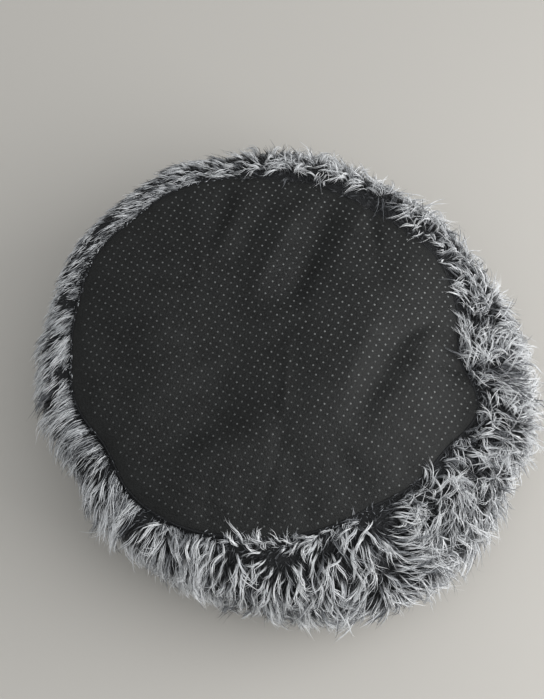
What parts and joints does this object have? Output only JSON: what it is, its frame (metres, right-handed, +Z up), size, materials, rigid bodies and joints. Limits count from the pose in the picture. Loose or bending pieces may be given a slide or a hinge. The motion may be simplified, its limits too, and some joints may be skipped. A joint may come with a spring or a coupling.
{
  "type": "cat bed",
  "caption": "Round plush pet bed lying upside down: dotted non-woven base panel on top, padded long-pile fur rim around it and a nest hollow underneath.",
  "frame": {"origin": "on the floor under the middle of the bed's outline, with the bed upside down as it lies in the picture", "axes": "+Z up, out of the base panel that faces up; -Y towards the camera; +X to the camera's right. Turned half a turn about X the bed stands the way a cat uses it"},
  "size_m": [0.5042, 0.4936, 0.1795],
  "materials": {
    "dotted_nonwoven": "matte",
    "fibre_filling": "matte",
    "spunbond": "matte",
    "fur": "matte"
  },
  "bodies": {
    "root": {"base_panel": "dotted_nonwoven", "base_filling": "fibre_filling", "inner_lining": "spunbond", "rim_filling": "fibre_filling", "rim_cover_outer": "fur", "rim_cover_inner": "fur", "nest_cover": "fur"}
  },
  "joints": []
}
